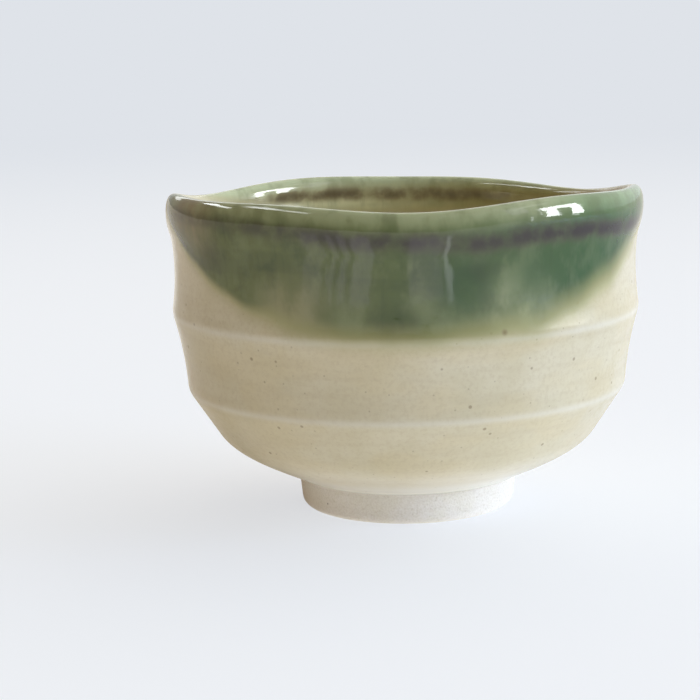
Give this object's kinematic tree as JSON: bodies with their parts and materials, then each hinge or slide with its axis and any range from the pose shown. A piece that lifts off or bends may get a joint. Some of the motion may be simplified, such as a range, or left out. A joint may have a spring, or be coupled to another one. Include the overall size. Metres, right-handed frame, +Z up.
{
  "type": "matcha bowl",
  "caption": "Handmade stoneware tea bowl with a waved rim, throwing ridges and a foot ring, cream glazed with a green glaze dipped over the lip.",
  "frame": {"origin": "centre of the foot ring's flat base, which is the bottom centre of the bowl's box", "axes": "+Z up along the bowl's axis, -Y towards the front with the deep green glaze"},
  "size_m": [0.1198, 0.1206, 0.0827],
  "materials": {
    "stoneware": "bare fired clay, matte and fine grained",
    "cream_glaze": "glossy cream ash glaze with fine iron specks",
    "green_glaze": "glossy copper green glaze, streaked, brown-violet where it thins under the lip"
  },
  "bodies": {
    "root": {"clay_bowl": "stoneware", "foot_ring": "stoneware", "cream_glaze_outside": "cream_glaze", "cream_glaze_inside": "cream_glaze", "green_glaze_front": "green_glaze", "green_glaze_back": "green_glaze"}
  },
  "joints": []
}
